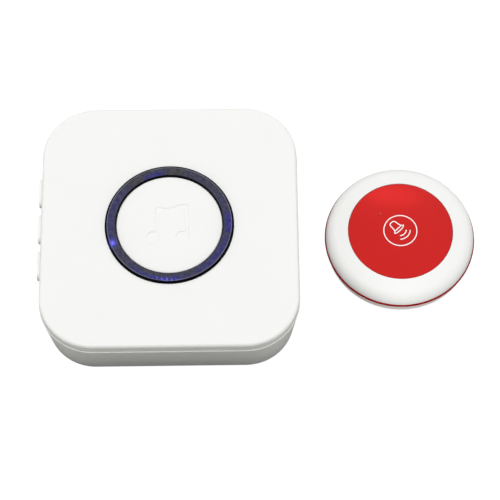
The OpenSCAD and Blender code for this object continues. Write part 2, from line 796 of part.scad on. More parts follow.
// Outline of the call button's outside: an upright rim, a round shoulder and a sloping top, cut in by inset
module dome_outline(inset, z0) {
    r = button_r - inset;
    turn_r = shoulder_r - inset;
    turn_x = r - turn_r;
    slope_x = turn_x + turn_r * sin(crown_slope);
    polygon([[0, z0], [r, z0], [r, shoulder_z], [turn_x, shoulder_z], [slope_x, dome_z(inset, slope_x)],
        [0, dome_z(inset, 0)]]);
    intersection() {
        translate([turn_x, shoulder_z]) circle(turn_r);
        translate([0, shoulder_z]) square([r + over, 2 * turn_r]);
    }
}

// Places a child at each screw that closes the call button
module at_base_screws() {
    for (i = [0:base_screw_count - 1])
        rotate([0, 0, base_screw_turn + 360 * i / base_screw_count])
            translate([base_screw_ring_r, 0, 0]) children();
}

// Places a child at each pin that carries the call button's board
module at_board_pins() {
    for (i = [0:base_screw_count - 1])
        rotate([0, 0, board_pin_turn + 360 * i / base_screw_count])
            translate([board_pin_ring_r, 0, 0]) children();
}

// Moves a child from the call button's own middle to its place beside the receiver
module at_button() {
    translate([button_x, set_shift, 0]) children();
}

module button_base() {
    color(casing_white) at_button() difference() {
        union() {
            rotate_extrude() difference() {
                union() {
                    translate([0, base_edge_r]) square([base_r, base_h - base_edge_r]);
                    square([base_r - base_edge_r, base_h]);
                    intersection() {
                        translate([base_r - base_edge_r, base_edge_r]) circle(base_edge_r);
                        square([base_r + over, base_edge_r]);
                    }
                }
                translate([0, base_floor]) square([base_r - button_wall, base_h]);
            }
            at_base_screws() translate([0, 0, base_floor - eps])
                cylinder(r = base_post_r, h = base_h - base_floor + eps);
            at_board_pins() {
                translate([0, 0, base_floor - eps])
                    cylinder(r = board_stand_r, h = button_board_z - base_floor + eps);
                translate([0, 0, base_floor])
                    cylinder(r = board_pin_r, h = button_board_top_z + board_pin_proud - base_floor);
            }
        }
        at_base_screws() {
            translate([0, 0, -over])
                cylinder(r = base_screw_head_r + screw_hole_gap, h = base_screw_seat_z + over);
            translate([0, 0, -over]) cylinder(r = base_screw_r + 2 * fit_gap, h = base_h + 2 * over);
        }
    }
}

module seal_ring() {
    bead_r = seal_t / 2;
    color(cap_red) at_button() translate([0, 0, base_h]) rotate_extrude() {
        translate([seal_in_r, 0]) square([seal_r - bead_r - seal_in_r, seal_t]);
        translate([seal_r - bead_r, bead_r]) circle(bead_r);
    }
}

module button_shell() {
    color(casing_white) at_button() difference() {
        union() {
            rotate_extrude() difference() {
                dome_outline(0, rim_z);
                dome_outline(button_wall, rim_z - over);
                square([cap_opening_r, 2 * button_r]);
            }
            at_base_screws() translate([0, 0, base_h])
                cylinder(r = shell_post_r, h = shell_post_top_z - base_h);
        }
        at_base_screws() translate([0, 0, base_h - over])
            cylinder(r = base_screw_r + fit_gap / 2, h = base_screw_tip_z + pilot_spare - base_h + over);
    }
}

module call_cap() {
    color(cap_red) at_button() difference() {
        union() {
            rotate_extrude() difference() {
                union() {
                    intersection() {
                        translate([0, cap_crown_z]) circle(cap_crown_r, $fn = crown_sides);
                        translate([0, cap_flange_z]) square([cap_r, button_r]);
                    }
                    translate([0, cap_flange_z]) square([cap_flange_r, cap_flange_t]);
                }
                square([cap_r - cap_skirt_t, cap_under_z]);
            }
            translate([0, 0, call_plunger_top_z])
                cylinder(r = cap_boss_r, h = cap_boss_h + cap_plate_t / 2);
        }
        at_indicator() cylinder(r = lens_r + lens_hole_gap, h = button_r);
    }
}

// Moves a child to the indicator's place
module at_indicator() {
    rotate([0, 0, indicator_angle]) translate([indicator_r, 0, 0]) children();
}

module indicator_lens() {
    color("lightcoral") at_button() intersection() {
        at_indicator() translate([0, 0, cap_under_z - lens_drop]) cylinder(r = lens_r, h = button_r);
        rotate_extrude() intersection() {
            translate([0, cap_crown_z]) circle(cap_crown_r, $fn = crown_sides);
            square([button_r, button_r]);
        }
    }
}

module button_board() {
    color(board_green) at_button() difference() {
        translate([0, 0, button_board_z]) cylinder(r = button_board_r, h = button_board_t);
        at_board_pins() translate([0, 0, button_board_z - over])
            cylinder(r = board_pin_r + fit_gap, h = button_board_t + 2 * over);
    }
}

module call_switch() {
    color(metal_grey) at_button() difference() {
        translate([-call_switch_size[0] / 2, -call_switch_size[1] / 2, button_board_top_z])
            cube(call_switch_size);
        translate([0, 0, button_board_top_z + call_bore_floor])
            cylinder(r = call_bore_r, h = call_switch_size[2]);
    }
}

module call_switch_plunger() {
    low_z = button_board_top_z + call_switch_size[2] - call_plunger_in;
    color(part_black) at_button() translate([0, 0, low_z])
        cylinder(r = call_plunger_r, h = call_plunger_top_z - low_z);
}

module indicator_lamp() {
    color("white") at_button() at_indicator()
        translate([-indicator_lamp_size[0] / 2, -indicator_lamp_size[1] / 2, button_board_top_z])
            cube(indicator_lamp_size);
}

module encoder_chip() {
    color(part_black) at_button()
        translate([encoder_pos[0] - encoder_size[0] / 2, encoder_pos[1] - encoder_size[1] / 2,
            button_board_top_z])
            cube(encoder_size);
}

module coin_cell() {
    color(metal_grey) at_button() translate([0, 0, coin_z]) cylinder(d = coin_d, h = coin_t);
}

// Bent steel strap that holds the coin cell up against the board
module cell_clip() {
    leg_x = coin_d / 2 + clip_gap;
    color(metal_grey) at_button() {
        translate([-leg_x - clip_t, -clip_w / 2, base_floor]) cube([2 * (leg_x + clip_t), clip_w, clip_t]);
        for (side = [-1, 1])
            translate([side * (leg_x + clip_t / 2) - clip_t / 2, -clip_w / 2, base_floor])
                cube([clip_t, clip_w, button_board_z - base_floor]);
    }
}

module base_screws() {
    color(metal_grey) at_button() at_base_screws() translate([0, 0, base_screw_seat_z])
        screw(base_screw_r, base_screw_head_r, base_screw_head_h, base_screw_tip_z - base_screw_seat_z);
}

front_cover();
rear_cover();
light_ring();
centre_disc();
upper_side_button();
middle_side_button();
lower_side_button();
upper_switch_plunger();
middle_switch_plunger();
lower_switch_plunger();
side_switches();
receiver_board();
ring_lamps();
sound_chip();
radio_module();
antenna_coil();
speaker_basket();
speaker_cone();
speaker_magnet();
speaker_leads();
battery_door();
battery_cells();
cell_springs();
cell_plates();
case_screws();
board_screws();
button_base();
seal_ring();
button_shell();
call_cap();
indicator_lens();
button_board();
call_switch();
call_switch_plunger();
indicator_lamp();
encoder_chip();
coin_cell();
cell_clip();
base_screws();
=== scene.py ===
"""Caregiver pager: a white chime receiver with a smoked light ring, and its round red call button."""
import math

import bpy
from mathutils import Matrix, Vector


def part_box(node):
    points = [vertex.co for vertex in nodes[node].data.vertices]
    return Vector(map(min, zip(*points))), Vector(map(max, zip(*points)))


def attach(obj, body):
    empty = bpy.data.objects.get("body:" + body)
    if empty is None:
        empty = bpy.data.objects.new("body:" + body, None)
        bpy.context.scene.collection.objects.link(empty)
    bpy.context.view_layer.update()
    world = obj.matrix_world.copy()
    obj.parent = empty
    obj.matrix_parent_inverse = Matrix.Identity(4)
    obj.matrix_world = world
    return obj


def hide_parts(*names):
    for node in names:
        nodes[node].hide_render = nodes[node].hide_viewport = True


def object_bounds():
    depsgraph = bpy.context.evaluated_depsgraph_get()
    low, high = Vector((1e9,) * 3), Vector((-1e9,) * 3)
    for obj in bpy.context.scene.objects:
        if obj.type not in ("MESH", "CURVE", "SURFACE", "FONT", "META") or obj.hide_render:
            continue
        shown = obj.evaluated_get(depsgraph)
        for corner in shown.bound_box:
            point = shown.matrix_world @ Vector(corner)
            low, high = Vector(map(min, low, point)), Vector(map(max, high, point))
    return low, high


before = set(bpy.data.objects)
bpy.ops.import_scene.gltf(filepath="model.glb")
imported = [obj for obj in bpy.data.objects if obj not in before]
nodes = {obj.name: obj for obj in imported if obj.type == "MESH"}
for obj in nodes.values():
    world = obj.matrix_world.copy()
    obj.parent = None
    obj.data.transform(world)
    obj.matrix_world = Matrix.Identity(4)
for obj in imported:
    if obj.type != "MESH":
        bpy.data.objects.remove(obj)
cad_low, cad_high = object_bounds()
MM = 0.001

# Camera, as the photograph was taken
CAMERA_LENS = 151.0
CAMERA_SENSOR = 36.0
CAMERA_DISTANCE = 748 * MM
CAMERA_ELEVATION = math.radians(65.6)
CAMERA_AZIMUTH = math.radians(-0.74)
CAMERA_TARGET = Vector((28.02, -0.67, 2.0)) * MM
CAMERA_CLIP = (10 * MM, 50.0)

# Studio light
SOFTBOX_SIZE = 2200 * MM
SOFTBOX_PLACE = Vector((0.0, 0.85, 1.6))
SOFTBOX_POWER = 21.0
FILL_SIZE = 500 * MM
FILL_PLACE = Vector((0.0, -0.3, 1.6))
FILL_POWER = 6.0
SIDE_SIZE = 500 * MM
SIDE_PLACES = (Vector((-0.85, -0.3, 0.3)), Vector((0.9, -0.3, 0.3)))
SIDE_POWER = 1.7
STRIP_SIZE = (280 * MM, 60 * MM)
STRIP_PLACE = Vector((0.155, 0.83, 1.245))
STRIP_POWER = 0.58
SNOOT_PLACE = Vector((0.03, -0.65, 0.04))
SNOOT_POWER = 5.2
SNOOT_RADIUS = 25 * MM
SNOOT_CONE = math.radians(5.6)
SNOOT_BLEND = 0.25
SKY_LIGHT = 0.26
FLOOR_SIZE = 6.0
FLOOR_DROP = 0.02 * MM
FLOOR_GLOW = 0.92
FLOOR_PALE = 0.2
FLOOR_BOUNCE = (0.46, 0.476, 0.42, 1)
# Painted contact shadow in the floor's bounce colour: its colour, reach and falloff
FLOOR_PAINTED_SHADOW = (0, 0, 0, 1)
FLOOR_PAINTED_SHADOW_REACH = 35 * MM
FLOOR_PAINTED_SHADOW_FALL = 7.0

# Musical note pressed into the centre disc, from the disc's middle
NOTE_DEPTH = 0.27 * MM
NOTE_SLOPE = 0.3 * MM
NOTE_STEM_X = (-4.2 * MM, 6.1 * MM)
NOTE_STEM_W = 1.1 * MM
NOTE_HEAD = (2.2 * MM, 2.2 * MM)
NOTE_HEAD_Y = -4.85 * MM
NOTE_TOP_Y = 6.4 * MM
NOTE_BEAM_H = 1.9 * MM
NOTE_BEAM_WAVE = 0.47 * MM
NOTE_WAVE_START = 0.1
NOTE_CORNER_R = 0.9 * MM
DISC_EDGE_R = 0.4 * MM
DISC_EDGE_STEPS = 6
DISC_RINGS = 120
DISC_SECTORS = 320

# Light ring
RING_GREY = (0.047, 0.046, 0.052, 1)
RING_VIOLET = (0.041, 0.04, 0.085, 1)
# Painted glow: blue in the base colour where the lamps shine through the ring
RING_PAINTED_GLOW_BLUE = (0.026, 0.024, 0.2, 1)
# Painted shade: black on the ring's round edges, where their steep sides look shaded
RING_PAINTED_SHADE = (0.002, 0.002, 0.004, 1)
RING_SPECK = (0.16, 0.16, 0.21, 1)
# Painted highlight: a light line just inside the outer edge
RING_PAINTED_HIGHLIGHT = (0.42, 0.42, 0.48, 1)
# Painted glints: the ring emits this blue light over the lamps
RING_PAINTED_LAMP_LIGHT = (0.12, 0.12, 1.0, 1)
RING_UNLIT = (0, 0, 0, 1)
RING_OUTER_R = 22.45 * MM
RING_INNER_R = 18.55 * MM
# Widths of the painted shade at the outer and inner edges
RING_OUTER_PAINTED_SHADE = 0.7 * MM
RING_INNER_PAINTED_SHADE = 0.3 * MM
RING_PAINTED_HIGHLIGHT_W = 0.3 * MM
RING_BLUR = 0.08 * MM
RING_CLOUD_SCALE = 130.0
RING_MOTTLE_SCALE = 800.0
RING_GRIT_AND_SPARKLE_SCALE = 1500.0
RING_VIOLET_RANGE = (0.42, 0.7)
RING_SPECK_RANGE = (0.4, 0.75)
RING_SPECK_MOST = 0.4
RING_SPARK_RANGE = (0.54, 0.66)
# Painted blue glow of the lamps seen through the ring: angle and spread in degrees, radius and reach in
# millimetres, strength
RING_PAINTED_GLOW_PATCHES = (
    (200, 18, 21, 2.5, 0.3),
    (168, 34, 20.5, 3, 0.4),
    (228, 24, 21.2, 2, 0.12),
    (262, 36, 21.4, 2.2, 0.75),
    (322, 34, 20.9, 2.8, 0.65),
    (1, 14, 21, 2.5, 1.2),
    (32, 24, 20.2, 2.6, 0.15),
    (106, 15, 19.6, 1.6, 0.8),
)
# Painted sparkles near a lamp: angle and spread in degrees, radius and reach in millimetres, strength
RING_PAINTED_SPARKS = (267, 15, 21.2, 0.9, 0.9)
# Painted glints of a lamp, emitted by the ring though it is no lamp: angle in degrees, radius and size in
# millimetres, strength
RING_PAINTED_GLINTS = ((200.3, 20.86, 1.0, 1.0), (200, 20.8, 2.4, 0.25))
RING_SPARK_LEAN = (0, 0, math.radians(40))
RING_SPARK_STRETCH = (1, 0.4, 1)

# Printed sign on the red cap
PRINT_T = 0.04 * MM
PRINT_LINE = 0.37 * MM
PRINT_RING_R = 5.83 * MM
PRINT_RING_STEPS = 96
PRINT_PLACE = (-0.1 * MM, -0.2 * MM)
BELL_PLACE = (-0.33 * MM, 0.36 * MM)
BELL_TURN = math.radians(44.5)
CAP_CROWN_R = 200 * MM
# Sound arcs beside the bell: radius in millimetres and half their spread in degrees
SOUND_ARCS = ((2.4, 42), (3.8, 42))
SOUND_STEPS = 16
# Section of a printed line: share of its half width, and height over the cap
PRINT_SECTION = ((1, -PRINT_T), (1, PRINT_T / 2), (0.8, PRINT_T),
                 (-0.8, PRINT_T), (-1, PRINT_T / 2), (-1, -PRINT_T))

# Board, battery cells and loudspeaker cone inside the receiver
BOARD_MASK = (0.02, 0.14, 0.06, 1)
BOARD_MASK_DARK = (0.016, 0.12, 0.055, 1)
BOARD_TRACK = (0.045, 0.24, 0.1, 1)
BOARD_PAD = (0.55, 0.55, 0.5, 1)
BOARD_TRACK_SCALE = 110.0
BOARD_PAD_SCALE = 300.0
BOARD_PAD_RANGE = (0.17, 0.15)
CELL_GREEN = (0.03, 0.2, 0.09, 1)
CELL_CREAM = (0.72, 0.68, 0.58, 1)
CELL_SCUFF = (0.3, 0.32, 0.3, 1)
CELL_STEEL = (0.62, 0.62, 0.63, 1)
CELL_ROWS = 3
CELL_BAND_X = 9 * MM
CELL_WEAR = 0.25
CELL_WEAR_SCALE = 700.0
CELL_END_FACING = 0.7
CONE_BLACK = (0.012, 0.012, 0.013, 1)
CONE_FIBRE = (0.05, 0.05, 0.052, 1)
FIBRE_SCALE = 2500.0

# Relief of the finishes, and how edges are found and rounded
GRAIN_DEPTH = 0.02 * MM
TRACK_DEPTH = 0.03 * MM
FIBRE_DEPTH = 0.05 * MM
WELD_REACH = 0.001 * MM
HARD_ANGLE = math.radians(25)
FLAT_ANGLE = math.radians(0.3)
BEVEL_ANGLE = math.radians(35)
BEVEL_SEGMENTS = 3
NORMAL_WEIGHT = 80


# Scene helpers

def link_object(name, data):
    """New object in the scene."""
    piece = bpy.data.objects.new(name, data)
    bpy.context.scene.collection.objects.link(piece)
    return piece


def place_camera():
    """Camera at the photograph's place, looking at a point between the two devices."""
    camera = link_object("camera", bpy.data.cameras.new("camera"))
    back = Vector((math.sin(CAMERA_AZIMUTH) * math.cos(CAMERA_ELEVATION),
                   -math.cos(CAMERA_AZIMUTH) * math.cos(CAMERA_ELEVATION),
                   math.sin(CAMERA_ELEVATION)))
    camera.data.lens = CAMERA_LENS
    camera.data.sensor_width = CAMERA_SENSOR
    camera.location = CAMERA_TARGET + back * CAMERA_DISTANCE
    camera.rotation_mode = "QUATERNION"
    camera.rotation_quaternion = (-back).to_track_quat("-Z", "Y")
    camera.data.clip_start, camera.data.clip_end = CAMERA_CLIP
    bpy.context.scene.camera = camera


def add_node(tree, kind, inputs=None, **settings):
    """Shader node with its settings and inputs. An input is a value or another node's output."""
    node = tree.nodes.new(kind)
    for key, value in settings.items():
        setattr(node, key, value)
    for key, value in (inputs or {}).items():
        if isinstance(value, bpy.types.NodeSocket):
            tree.links.new(value, node.inputs[key])
        else:
            node.inputs[key].default_value = value
    return node


def empty_material(name):
    """New material with only an output node."""
    material = bpy.data.materials.new(name)
    material.use_nodes = True
    tree = material.node_tree
    tree.nodes.clear()
    output = tree.nodes.new("ShaderNodeOutputMaterial")
    return material, tree, output.inputs["Surface"]


def hang_light(name, kind, place, target, power):
    """New light at a place, pointed at a target."""
    light = bpy.data.lights.new(name, kind)
    light.energy = power
    lamp = link_object(name, light)
    lamp.location = place
    lamp.rotation_mode = "QUATERNION"
    lamp.rotation_quaternion = (target - place).to_track_quat("-Z", "Y")
    return light


def light_studio():
    """Large soft light behind the set, a fill above its front, two low lights at its sides and a dim sky.

    A narrow strip shines in the red cap, and a snooted light reaches the call button's near side.
    """
    round_panels = [("softbox", SOFTBOX_PLACE, SOFTBOX_POWER, SOFTBOX_SIZE),
                    ("fill", FILL_PLACE, FILL_POWER, FILL_SIZE)]
    round_panels += [("side", place, SIDE_POWER, SIDE_SIZE) for place in SIDE_PLACES]
    for name, place, power, size in round_panels:
        panel = hang_light(name, "AREA", place, CAMERA_TARGET, power)
        panel.shape = "DISK"
        panel.size = size
    low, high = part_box("button_shell")
    button_middle = (low + high) / 2
    strip = hang_light("strip", "AREA", STRIP_PLACE, button_middle, STRIP_POWER)
    strip.shape = "RECTANGLE"
    strip.size, strip.size_y = STRIP_SIZE
    snoot = hang_light("snoot", "SPOT", SNOOT_PLACE, button_middle, SNOOT_POWER)
    snoot.spot_size = SNOOT_CONE
    snoot.spot_blend = SNOOT_BLEND
    snoot.shadow_soft_size = SNOOT_RADIUS

    world = bpy.data.worlds.new("studio")
    world.use_nodes = True
    bpy.context.scene.world = world
    tree = world.node_tree
    tree.nodes.clear()
    seen = add_node(tree, "ShaderNodeLightPath").outputs["Is Camera Ray"]
    dim = add_node(tree, "ShaderNodeBackground", {"Color": (1, 1, 1, 1), "Strength": SKY_LIGHT})
    white = add_node(tree, "ShaderNodeBackground", {"Color": (1, 1, 1, 1), "Strength": 1.0})
    sky = add_node(tree, "ShaderNodeMixShader", {0: seen, 1: dim.outputs[0], 2: white.outputs[0]})
    add_node(tree, "ShaderNodeOutputWorld", {"Surface": sky.outputs[0]})
    bpy.context.scene.view_settings.view_transform = "Standard"


def lay_floor():
    """Pale floor under both devices, seen as white. Its bounce colour carries a painted contact shadow: it
    darkens where a device stands close.
    """
    material, tree, surface = empty_material("floor_pale")
    seen = add_node(tree, "ShaderNodeLightPath").outputs["Is Camera Ray"]
    # Painted shadow: the bounce colour darkens towards black where ambient occlusion finds a device close
    free = add_node(tree, "ShaderNodeAmbientOcclusion", {"Distance": FLOOR_PAINTED_SHADOW_REACH}).outputs["AO"]
    fade = math_node(tree, "POWER", free, FLOOR_PAINTED_SHADOW_FALL)
    shaded = mix_colour(tree, fade, FLOOR_PAINTED_SHADOW, FLOOR_BOUNCE)
    bounce = add_node(tree, "ShaderNodeBsdfDiffuse", {"Color": shaded})
    pale = add_node(tree, "ShaderNodeBsdfDiffuse", {"Color": (FLOOR_PALE,) * 3 + (1,)})
    glow = add_node(tree, "ShaderNodeEmission", {"Color": (1, 1, 1, 1), "Strength": FLOOR_GLOW})
    lifted = add_node(tree, "ShaderNodeAddShader", {0: pale.outputs[0], 1: glow.outputs[0]})
    mixed = add_node(tree, "ShaderNodeMixShader", {0: seen, 1: bounce.outputs[0], 2: lifted.outputs[0]})
    tree.links.new(mixed.outputs[0], surface)
    mesh = bpy.data.meshes.new("floor")
    half = FLOOR_SIZE / 2
    corners = [(-half, -half, 0), (half, -half, 0), (half, half, 0), (-half, half, 0)]
    mesh.from_pydata(corners, [], [(0, 1, 2, 3)])
    mesh.materials.append(material)
    floor = link_object("floor", mesh)
    floor.location.z = cad_low.z - FLOOR_DROP


# Surface effects that several finishes share

def new_effect(name, inputs):
    """Shader node group that puts out colour, roughness and height, with its inner sources and results."""
    group = bpy.data.node_groups.new(name, "ShaderNodeTree")
    for label, kind, value in inputs:
        group.interface.new_socket(label, in_out="INPUT", socket_type=kind).default_value = value
    for label, kind in (("Colour", "NodeSocketColor"), ("Roughness", "NodeSocketFloat"),
                        ("Height", "NodeSocketFloat")):
        group.interface.new_socket(label, in_out="OUTPUT", socket_type=kind)
    source = group.nodes.new("NodeGroupInput")
    result = group.nodes.new("NodeGroupOutput")
    return group, source.outputs, result.inputs


def math_node(tree, operation, first, second, third=0.0):
    """Output of one step of arithmetic."""
    return add_node(tree, "ShaderNodeMath", {0: first, 1: second, 2: third}, operation=operation).outputs[0]


def ramp(tree, value, start, end, top=1.0, step="LINEAR"):
    """Output that goes from 0 at one value to the top at another."""
    return add_node(tree, "ShaderNodeMapRange",
                    {"Value": value, "From Min": start, "From Max": end, "To Max": top},
                    interpolation_type=step).outputs[0]


def noise(tree, place, scale, detail, roughness=0.5):
    """Output of a noise texture."""
    return add_node(tree, "ShaderNodeTexNoise",
                    {"Vector": place, "Scale": scale, "Detail": detail, "Roughness": roughness}).outputs[0]


def mix_colour(tree, factor, first, second):
    """Output of a colour mix."""
    node = add_node(tree, "ShaderNodeMix", data_type="RGBA", blend_type="MIX")
    for index, value in ((0, factor), (6, first), (7, second)):
        if isinstance(value, bpy.types.NodeSocket):
            tree.links.new(value, node.inputs[index])
        else:
            node.inputs[index].default_value = value
    return node.outputs[2]


def make_moulded_grain():
    """Fine spark-eroded grain of a moulded surface, with faint cloudy tint and gloss."""
    group, given, result = new_effect(
        "moulded_grain",
        [("Colour", "NodeSocketColor", (0.8, 0.8, 0.8, 1)),
         ("Shade", "NodeSocketColor", (0.7, 0.7, 0.7, 1)),
         ("Grain Scale", "NodeSocketFloat", 5000.0),
         ("Cloud Scale", "NodeSocketFloat", 60.0),
         ("Roughness", "NodeSocketFloat", 0.4),
         ("Roughness Spread", "NodeSocketFloat", 0.08)])
    place = add_node(group, "ShaderNodeTexCoord").outputs["Object"]
    grain = noise(group, place, given["Grain Scale"], 2.0, 0.6)
    cloud = noise(group, place, given["Cloud Scale"], 3.0, 0.55)
    tint = mix_colour(group, cloud, given["Colour"], given["Shade"])
    centred = math_node(group, "SUBTRACT", cloud, 0.5)
    rough = math_node(group, "MULTIPLY_ADD", centred, given["Roughness Spread"], given["Roughness"])
    fine = math_node(group, "SUBTRACT", grain, 0.5)
    half_spread = math_node(group, "MULTIPLY", given["Roughness Spread"], 0.5)
    rough = math_node(group, "MULTIPLY_ADD", fine, half_spread, rough)
    group.links.new(tint, result["Colour"])
    group.links.new(rough, result["Roughness"])
    group.links.new(grain, result["Height"])
    return group


def make_drawn_metal():
    """Drawn or brushed metal: long streaks in tint, gloss and height."""
    group, given, result = new_effect(
        "drawn_metal",
        [("Colour", "NodeSocketColor", (0.7, 0.7, 0.7, 1)),
         ("Shade", "NodeSocketColor", (0.5, 0.5, 0.5, 1)),
         ("Streak", "NodeSocketVector", (400.0, 9000.0, 9000.0)),
         ("Roughness", "NodeSocketFloat", 0.3),
         ("Roughness Spread", "NodeSocketFloat", 0.15)])
    place = add_node(group, "ShaderNodeTexCoord").outputs["Object"]
    drawn = add_node(group, "ShaderNodeVectorMath", {0: place, 1: given["Streak"]}, operation="MULTIPLY")
    streak = noise(group, drawn.outputs[0], 1.0, 3.0, 0.6)
    tint = mix_colour(group, streak, given["Colour"], given["Shade"])
    centred = math_node(group, "SUBTRACT", streak, 0.5)
    rough = math_node(group, "MULTIPLY_ADD", centred, given["Roughness Spread"], given["Roughness"])
    group.links.new(tint, result["Colour"])
    group.links.new(rough, result["Roughness"])
    group.links.new(streak, result["Height"])
    return group


moulded_grain = make_moulded_grain()
drawn_metal = make_drawn_metal()


# Finishes

def finish_surface(name, group, values, bump, **shader):
    """Material of one shared effect: its colour, roughness and height drive a Principled shader."""
    material, tree, surface = empty_material(name)
    effect = add_node(tree, "ShaderNodeGroup", node_tree=group)
    for label, value in values.items():
        effect.inputs[label].default_value = value
    relief = add_node(tree, "ShaderNodeBump",
                      {"Height": effect.outputs["Height"], "Strength": bump, "Distance": GRAIN_DEPTH})
    inputs = {"Base Color": effect.outputs["Colour"], "Roughness": effect.outputs["Roughness"],
              "Normal": relief.outputs[0]}
    inputs.update({label.replace("_", " "): value for label, value in shader.items()})
    skin = add_node(tree, "ShaderNodeBsdfPrincipled", inputs)
    tree.links.new(skin.outputs[0], surface)
    return material


def plastic(name, colour, shade, roughness, spread=0.08, bump=0.35, grain=5000.0, cloud=60.0, **shader):
    """Moulded plastic with its own grain."""
    values = {"Colour": colour + (1,), "Shade": shade + (1,), "Grain Scale": grain, "Cloud Scale": cloud,
              "Roughness": roughness, "Roughness Spread": spread}
    return finish_surface(name, moulded_grain, values, bump, **shader)


def metal(name, colour, shade, roughness, streak, spread=0.15, bump=0.2, **shader):
    """Bare or plated metal with drawn streaks."""
    values = {"Colour": colour + (1,), "Shade": shade + (1,), "Streak": streak,
              "Roughness": roughness, "Roughness Spread": spread}
    return finish_surface(name, drawn_metal, values, bump, Metallic=1.0, **shader)


def ring_patch(tree, turn, radius, degrees, spread, middle, reach, strength):
    """Soft patch of the light ring round an angle and a radius."""
    near = math_node(tree, "COSINE", math_node(tree, "SUBTRACT", turn, math.radians(degrees)), 0.0)
    along = ramp(tree, near, math.cos(math.radians(spread)), 1.0, strength, "SMOOTHSTEP")
    off = math_node(tree, "ABSOLUTE", math_node(tree, "SUBTRACT", radius, middle * MM), 0.0)
    across = ramp(tree, off, reach * MM, 0.0, step="SMOOTHSTEP")
    return math_node(tree, "MULTIPLY", along, across)


def smoked_ring():
    """Smoked plastic with random violet clouds and light specks. Painted shade blackens its round edges, a
    painted highlight line runs inside the outer one, and a painted blue glow and emitted glints stand over
    the lamps.
    """
    material, tree, surface = empty_material("smoked_blue")
    place = add_node(tree, "ShaderNodeTexCoord").outputs["Object"]
    flat = add_node(tree, "ShaderNodeVectorMath", {0: place, 1: (1, 1, 0)}, operation="MULTIPLY").outputs[0]
    radius = add_node(tree, "ShaderNodeVectorMath", {0: flat}, operation="LENGTH").outputs["Value"]
    axes = add_node(tree, "ShaderNodeSeparateXYZ", {0: place})
    turn = math_node(tree, "ARCTAN2", axes.outputs["Y"], axes.outputs["X"])
    cloud = noise(tree, place, RING_CLOUD_SCALE, 3.0, 0.6)
    tone = mix_colour(tree, ramp(tree, cloud, *RING_VIOLET_RANGE), RING_GREY, RING_VIOLET)
    # Painted glow: the base colour turns blue over the lamps
    painted_glow = 0.0
    for patch in RING_PAINTED_GLOW_PATCHES:
        painted_glow = math_node(tree, "ADD", painted_glow, ring_patch(tree, turn, radius, *patch))
    tone = mix_colour(tree, painted_glow, tone, RING_PAINTED_GLOW_BLUE)

    mottle = noise(tree, place, RING_MOTTLE_SCALE, 4.0, 0.7)
    speck = ramp(tree, mottle, *RING_SPECK_RANGE, RING_SPECK_MOST)
    tone = mix_colour(tree, speck, tone, RING_SPECK)

    # Painted shade: the base colour turns black near the outer and inner edges, by radius
    to_rim = math_node(tree, "SUBTRACT", RING_OUTER_R - RING_OUTER_PAINTED_SHADE, radius)
    to_bore = math_node(tree, "SUBTRACT", radius, RING_INNER_R + RING_INNER_PAINTED_SHADE)
    to_edge = math_node(tree, "MINIMUM", to_rim, to_bore)
    # Painted highlight: a light line inside the outer edge's painted shade, patchy with the cloud noise
    line = ramp(tree, to_rim, RING_PAINTED_HIGHLIGHT_W, 0.0, cloud)
    tone = mix_colour(tree, line, tone, RING_PAINTED_HIGHLIGHT)
    body = mix_colour(tree, ramp(tree, to_edge, -RING_BLUR, RING_BLUR), RING_PAINTED_SHADE, tone)

    # Painted glints and sparkles: the ring emits lamp light of its own, from spots and from the fine noise
    # that also gives its grain
    shine = 0.0
    for degrees, middle, size, strength in RING_PAINTED_GLINTS:
        spread = math.degrees(size / middle)
        glint = ring_patch(tree, turn, radius, degrees, spread, middle, size, strength)
        shine = math_node(tree, "ADD", shine, glint)
    leaning = add_node(tree, "ShaderNodeMapping",
                       {"Vector": place, "Rotation": RING_SPARK_LEAN, "Scale": RING_SPARK_STRETCH})
    grit_and_sparkle = noise(tree, leaning.outputs[0], RING_GRIT_AND_SPARKLE_SCALE, 1.0)
    spark = ramp(tree, grit_and_sparkle, *RING_SPARK_RANGE)
    sparks = math_node(tree, "MULTIPLY", spark, ring_patch(tree, turn, radius, *RING_PAINTED_SPARKS))
    shine = math_node(tree, "ADD", shine, sparks)
    glow = mix_colour(tree, shine, RING_UNLIT, RING_PAINTED_LAMP_LIGHT)
    relief = add_node(tree, "ShaderNodeBump", {"Height": grit_and_sparkle, "Strength": 0.1, "Distance": GRAIN_DEPTH})
    # Emission carries the painted glints and sparkles
    skin = add_node(tree, "ShaderNodeBsdfPrincipled",
                    {"Base Color": body, "Roughness": 0.4, "Specular IOR Level": 0.02,
                     "Emission Color": glow, "Emission Strength": 1.0, "Normal": relief.outputs[0]})
    tree.links.new(skin.outputs[0], surface)
    return material


def printed_board():
    """Circuit board: green solder mask over faint copper tracks, with tinned pads."""
    material, tree, surface = empty_material("board_green")
    place = add_node(tree, "ShaderNodeTexCoord").outputs["Object"]
    tracks = add_node(tree, "ShaderNodeTexBrick",
                      {"Vector": place, "Scale": BOARD_TRACK_SCALE, "Mortar Size": 0.03,
                       "Color1": BOARD_MASK, "Color2": BOARD_MASK_DARK, "Mortar": BOARD_TRACK})
    pads = add_node(tree, "ShaderNodeTexVoronoi", {"Vector": place, "Scale": BOARD_PAD_SCALE})
    pad = ramp(tree, pads.outputs["Distance"], *BOARD_PAD_RANGE)
    colour = mix_colour(tree, pad, tracks.outputs["Color"], BOARD_PAD)
    relief = add_node(tree, "ShaderNodeBump",
                      {"Height": tracks.outputs["Fac"], "Strength": 0.3, "Distance": TRACK_DEPTH})
    skin = add_node(tree, "ShaderNodeBsdfPrincipled",
                    {"Base Color": colour, "Metallic": pad, "Roughness": 0.35, "Normal": relief.outputs[0]})
    tree.links.new(skin.outputs[0], surface)
    return material


